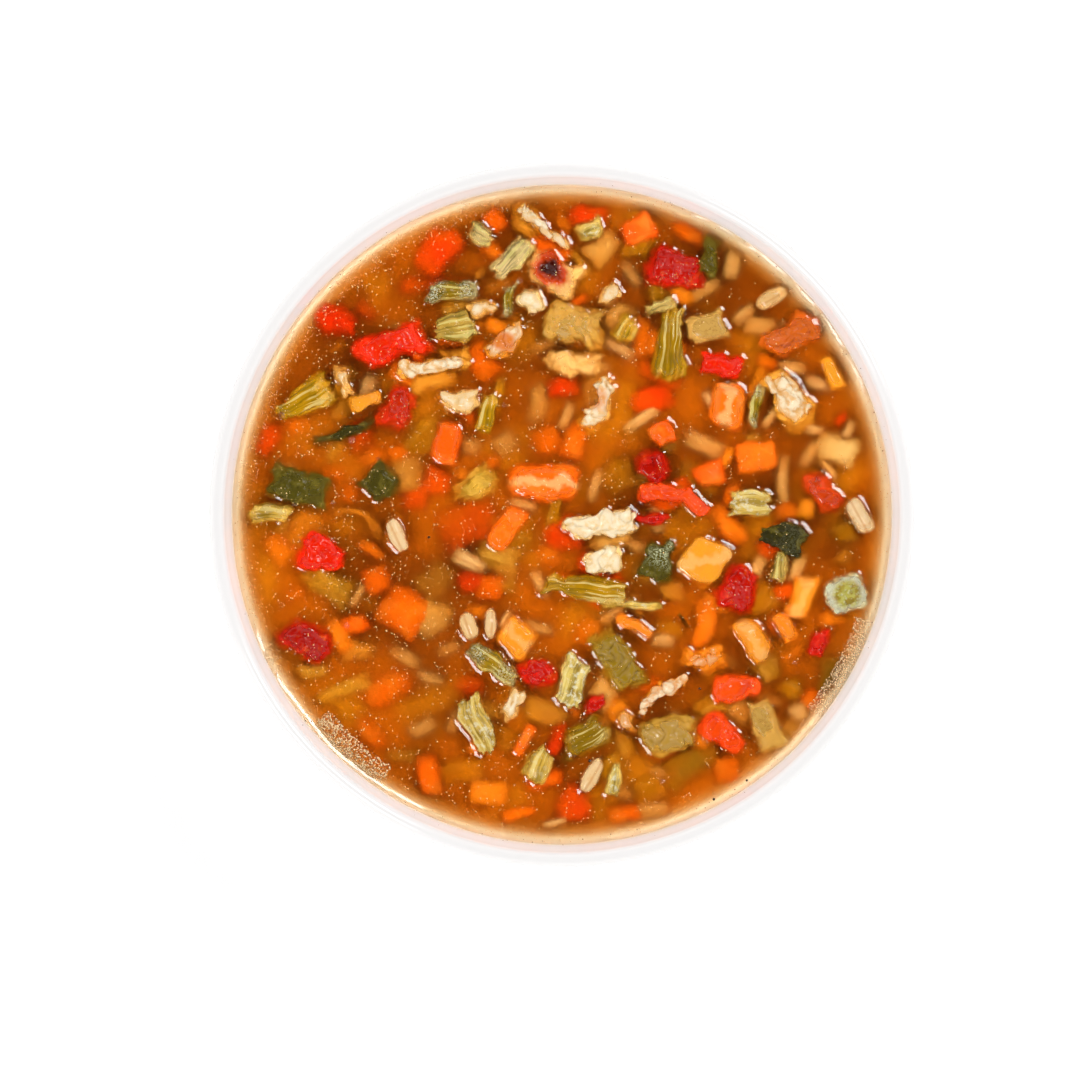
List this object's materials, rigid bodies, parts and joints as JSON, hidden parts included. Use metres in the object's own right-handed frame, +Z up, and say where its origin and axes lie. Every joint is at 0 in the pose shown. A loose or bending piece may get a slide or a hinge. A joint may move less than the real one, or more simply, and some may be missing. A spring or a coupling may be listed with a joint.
{
  "type": "bowl of vegetable barley soup",
  "caption": "Round white glazed bowl on a foot ring, nearly full of amber broth with diced carrot, tomato, celery, leek, onion and barley floating in it.",
  "frame": {"origin": "on the surface it stands on, under the middle of the foot ring", "axes": "+Z up through the middle of the bowl, +Y away from the diner, +X to the diner's right"},
  "size_m": [0.1398, 0.14, 0.066],
  "materials": {
    "glaze": "white gloss glaze",
    "broth": "wet amber broth, faintly cloudy",
    "carrot": "cooked carrot, wet",
    "pepper": "red pepper skin, wet",
    "tomato": "stewed tomato, wet and rough",
    "celery": "cooked celery, ribbed",
    "leek": "cooked leek, ribbed",
    "onion": "cooked onion, half clear",
    "potato": "cooked potato, wet",
    "greens": "dark cooked leaf, wet",
    "barley": "cooked barley grain, half clear",
    "floret": "pale green floret"
  },
  "bodies": {
    "root": {"bowl": "glaze", "broth": "broth", "carrot_1": "carrot", "carrot_2": "carrot", "carrot_3": "carrot", "carrot_4": "carrot", "carrot_5": "carrot", "carrot_6": "carrot", "carrot_7": "carrot", "carrot_8": "carrot", "carrot_9": "carrot", "carrot_10": "carrot", "carrot_11": "carrot", "pepper_1": "pepper", "pepper_2": "pepper", "pepper_3": "pepper", "pepper_4": "pepper", "pepper_5": "pepper", "pepper_6": "pepper", "tomato_1": "tomato", "tomato_2": "tomato", "tomato_3": "tomato", "tomato_4": "tomato", "tomato_5": "tomato", "tomato_6": "tomato", "tomato_7": "tomato", "tomato_8": "tomato", "celery_1": "celery", "celery_2": "celery", "celery_3": "celery", "celery_4": "celery", "celery_5": "celery", "celery_6": "celery", "celery_7": "celery", "celery_8": "celery", "leek_1": "leek", "leek_2": "leek", "leek_3": "leek", "leek_4": "leek", "onion_1": "onion", "onion_2": "onion", "onion_3": "onion", "onion_4": "onion", "onion_5": "onion", "onion_6": "onion", "onion_7": "onion", "onion_8": "onion", "onion_9": "onion", "onion_10": "onion", "onion_11": "onion", "onion_12": "onion", "onion_13": "onion", "potato_1": "potato", "potato_2": "potato", "greens_1": "greens", "greens_2": "greens", "greens_3": "greens", "barley_1": "barley", "floret_1": "floret"}
  },
  "joints": []
}
